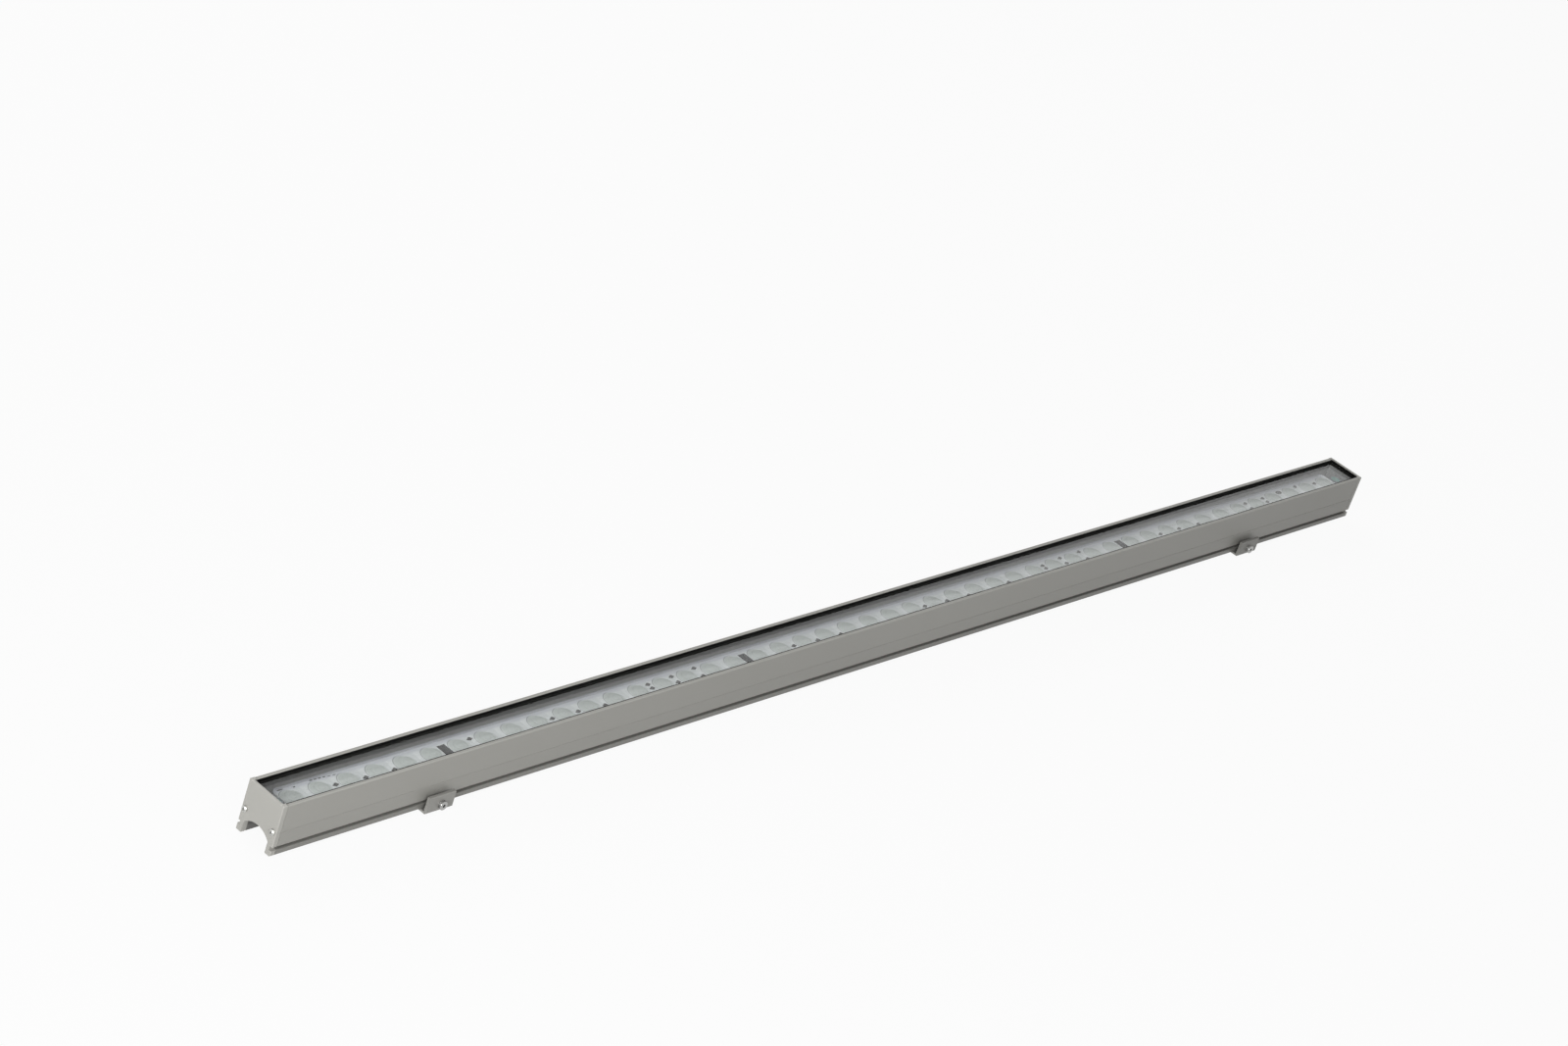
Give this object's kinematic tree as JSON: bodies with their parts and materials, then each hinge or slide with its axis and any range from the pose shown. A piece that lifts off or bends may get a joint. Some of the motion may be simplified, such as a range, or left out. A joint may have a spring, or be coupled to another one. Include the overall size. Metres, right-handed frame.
{
  "type": "wall washer light",
  "caption": "Slim linear outdoor wall washer: an extruded channel with recessed glass over a row of lenses, on clamp clips that slide along its grooved feet.",
  "frame": {"origin": "on the wall plane under the clips, below the middle of the lamp's length and width", "axes": "+X along the lamp to its right end, -Y out of the side with the clamp screws, +Z from the wall through the glass, the way the light leaves"},
  "size_m": [1.0026, 0.0358, 0.033],
  "materials": {
    "housing_metal": "satin grey coating on an extrusion",
    "cap_metal": "satin grey coating on a casting",
    "gasket": "matt",
    "bright_steel": "turned and polished",
    "clear_glass": "clear toughened pane",
    "black_seal": "smooth cured bead",
    "lens_plastic": "moulded optical plastic",
    "pin_plastic": "moulded",
    "board_white": "white solder mask",
    "chip_yellow": "silicone over phosphor",
    "resistor_black": "ceramic body",
    "dark_steel": "blackened",
    "link_metal": "plain",
    "tape_grey": "soft pad",
    "gland_nylon": "moulded",
    "teal_rubber": "soft seal",
    "clip_metal": "satin grey coating on an extrusion"
  },
  "bodies": {
    "lamp": {"housing": "housing_metal", "end_cap_left": "cap_metal", "end_cap_right": "cap_metal", "end_gasket_left": "gasket", "end_gasket_right": "gasket", "cap_screws_left": "bright_steel", "cap_screws_right": "bright_steel", "glass_cover": "clear_glass", "glass_seal": "black_seal", "lens_strip_1": "lens_plastic", "lens_strip_2": "lens_plastic", "lens_strip_3": "lens_plastic", "lens_strip_4": "lens_plastic", "lens_pins": "pin_plastic", "led_board_1": "board_white", "led_board_2": "board_white", "led_board_3": "board_white", "led_board_4": "board_white", "led_chips_1": "chip_yellow", "led_chips_2": "chip_yellow", "led_chips_3": "chip_yellow", "led_chips_4": "chip_yellow", "board_resistors": "resistor_black", "board_screws": "dark_steel", "board_links": "link_metal", "thermal_tape": "tape_grey", "cable_gland_left": "gland_nylon", "cable_gland_right": "gland_nylon", "gland_nut_left": "gland_nylon", "gland_nut_right": "gland_nylon", "gland_seal_left": "teal_rubber", "gland_seal_right": "teal_rubber"},
    "clip_left": {"clip_left": "clip_metal"},
    "clip_right": {"clip_right": "clip_metal"},
    "screw_left": {"clamp_screw_left": "bright_steel"},
    "screw_right": {"clamp_screw_right": "bright_steel"}
  },
  "joints": [
    {"name": "clip_left_slide", "type": "slide", "parent": "lamp", "child": "clip_left", "axis": [1, 0, 0], "range_m": [-0.1, 0.36]},
    {"name": "clip_right_slide", "type": "slide", "parent": "lamp", "child": "clip_right", "axis": [1, 0, 0], "range_m": [-0.36, 0.1]},
    {"name": "screw_left_turn", "type": "hinge", "parent": "clip_left", "child": "screw_left", "pos_m": [-0.3807, -0.0181, 0.0044], "axis": [0, -1, 0], "range_deg": [0, 720]},
    {"name": "screw_right_turn", "type": "hinge", "parent": "clip_right", "child": "screw_right", "pos_m": [0.3751, -0.0181, 0.0044], "axis": [0, -1, 0], "range_deg": [0, 720]}
  ]
}
